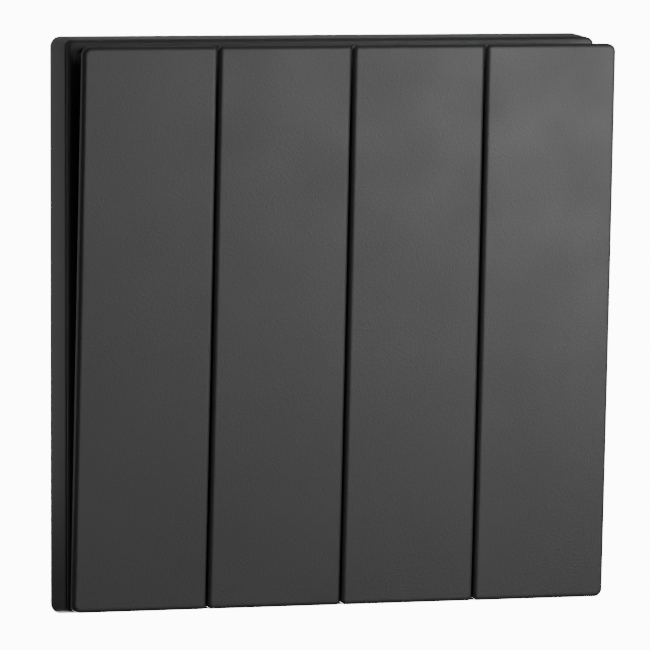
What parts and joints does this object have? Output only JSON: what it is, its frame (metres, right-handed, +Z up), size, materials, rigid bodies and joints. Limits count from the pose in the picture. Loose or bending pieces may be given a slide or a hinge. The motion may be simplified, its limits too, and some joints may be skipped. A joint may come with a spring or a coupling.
{
  "type": "four-gang light switch",
  "caption": "Square dark grey wall switch with tall rocker keys side by side, each tipping a sprung plunger that flips a contact arm.",
  "frame": {"origin": "centre of the switch on the wall plane, midway between the two box fixing slots at the support plate's rear face", "axes": "+X to the right across the keys as seen from the room, +Y into the wall, +Z up; the keys face -Y"},
  "size_m": [0.086, 0.0372, 0.086],
  "materials": {
    "key_plastic": "fine matt moulded texture, dark grey",
    "frame_plastic": "fine matt moulded texture, dark grey",
    "inner_plastic": "plain moulded, black",
    "housing_plastic": "plain moulded, mid grey",
    "rocker_plastic": "plain moulded, black",
    "plunger_plastic": "smooth natural acetal",
    "plate_steel": "zinc-plated pressed steel",
    "screw_steel": "zinc-plated steel",
    "spring_steel": "bright drawn wire",
    "contact_brass": "stamped copper alloy",
    "contact_silver": "pressed silver alloy",
    "cage_brass": "machined brass"
  },
  "bodies": {
    "base": {"surround_frame": "frame_plastic", "support_plate": "plate_steel", "rocker_carrier": "inner_plastic", "mechanism_housing": "housing_plastic", "housing_screws": "screw_steel", "terminal_screws": "screw_steel", "fixed_contact_1": "contact_silver", "fixed_contact_2": "contact_silver", "fixed_contact_3": "contact_silver", "fixed_contact_4": "contact_silver", "line_terminal_1": "contact_brass", "line_terminal_2": "contact_brass", "line_terminal_3": "contact_brass", "line_terminal_4": "contact_brass", "common_terminal_1": "contact_brass", "common_terminal_2": "contact_brass", "common_terminal_3": "contact_brass", "common_terminal_4": "contact_brass", "line_cage_1": "cage_brass", "line_cage_2": "cage_brass", "line_cage_3": "cage_brass", "line_cage_4": "cage_brass", "common_cage_1": "cage_brass", "common_cage_2": "cage_brass", "common_cage_3": "cage_brass", "common_cage_4": "cage_brass"},
    "gang_1": {"key_1": "key_plastic", "rocker_1": "rocker_plastic", "plunger_spring_1": "spring_steel"},
    "plunger_body_1": {"plunger_1": "plunger_plastic"},
    "arm_1": {"contact_arm_1": "contact_brass", "moving_contact_1": "contact_silver"},
    "gang_2": {"key_2": "key_plastic", "rocker_2": "rocker_plastic", "plunger_spring_2": "spring_steel"},
    "plunger_body_2": {"plunger_2": "plunger_plastic"},
    "arm_2": {"contact_arm_2": "contact_brass", "moving_contact_2": "contact_silver"},
    "gang_3": {"key_3": "key_plastic", "rocker_3": "rocker_plastic", "plunger_spring_3": "spring_steel"},
    "plunger_body_3": {"plunger_3": "plunger_plastic"},
    "arm_3": {"contact_arm_3": "contact_brass", "moving_contact_3": "contact_silver"},
    "gang_4": {"key_4": "key_plastic", "rocker_4": "rocker_plastic", "plunger_spring_4": "spring_steel"},
    "plunger_body_4": {"plunger_4": "plunger_plastic"},
    "arm_4": {"contact_arm_4": "contact_brass", "moving_contact_4": "contact_silver"}
  },
  "joints": [
    {"name": "key_1_rock", "type": "hinge", "parent": "base", "child": "gang_1", "pos_m": [-0.03223, -0.005, 0], "axis": [-1, 0, 0], "range_deg": [0, 6.8]},
    {"name": "plunger_1_slide", "type": "slide", "parent": "gang_1", "child": "plunger_body_1", "axis": [0, -0.9982, -0.0593], "range_m": [0, 0.0008], "stiffness_N_per_m": 400, "springref_m": -0.003, "deforming": ["plunger_spring_1"]},
    {"name": "arm_1_rock", "type": "hinge", "parent": "base", "child": "arm_1", "pos_m": [-0.0183, 0.013, 0], "axis": [1, 0, 0], "range_deg": [0, 19.04]},
    {"name": "key_2_rock", "type": "hinge", "parent": "base", "child": "gang_2", "pos_m": [-0.01074, -0.005, 0], "axis": [-1, 0, 0], "range_deg": [0, 6.8]},
    {"name": "plunger_2_slide", "type": "slide", "parent": "gang_2", "child": "plunger_body_2", "axis": [0, -0.9982, -0.0593], "range_m": [0, 0.0008], "stiffness_N_per_m": 400, "springref_m": -0.003, "deforming": ["plunger_spring_2"]},
    {"name": "arm_2_rock", "type": "hinge", "parent": "base", "child": "arm_2", "pos_m": [-0.0061, 0.013, 0], "axis": [1, 0, 0], "range_deg": [0, 19.04]},
    {"name": "key_3_rock", "type": "hinge", "parent": "base", "child": "gang_3", "pos_m": [0.01074, -0.005, 0], "axis": [-1, 0, 0], "range_deg": [0, 6.8]},
    {"name": "plunger_3_slide", "type": "slide", "parent": "gang_3", "child": "plunger_body_3", "axis": [0, -0.9982, -0.0593], "range_m": [0, 0.0008], "stiffness_N_per_m": 400, "springref_m": -0.003, "deforming": ["plunger_spring_3"]},
    {"name": "arm_3_rock", "type": "hinge", "parent": "base", "child": "arm_3", "pos_m": [0.0061, 0.013, 0], "axis": [1, 0, 0], "range_deg": [0, 19.04]},
    {"name": "key_4_rock", "type": "hinge", "parent": "base", "child": "gang_4", "pos_m": [0.03223, -0.005, 0], "axis": [-1, 0, 0], "range_deg": [0, 6.8]},
    {"name": "plunger_4_slide", "type": "slide", "parent": "gang_4", "child": "plunger_body_4", "axis": [0, -0.9982, -0.0593], "range_m": [0, 0.0008], "stiffness_N_per_m": 400, "springref_m": -0.003, "deforming": ["plunger_spring_4"]},
    {"name": "arm_4_rock", "type": "hinge", "parent": "base", "child": "arm_4", "pos_m": [0.0183, 0.013, 0], "axis": [1, 0, 0], "range_deg": [0, 19.04]}
  ],
  "couplings": [
    {"joint": "arm_1_rock", "follows": "key_1_rock", "ratio": 2.8},
    {"joint": "arm_2_rock", "follows": "key_2_rock", "ratio": 2.8},
    {"joint": "arm_3_rock", "follows": "key_3_rock", "ratio": 2.8},
    {"joint": "arm_4_rock", "follows": "key_4_rock", "ratio": 2.8}
  ]
}
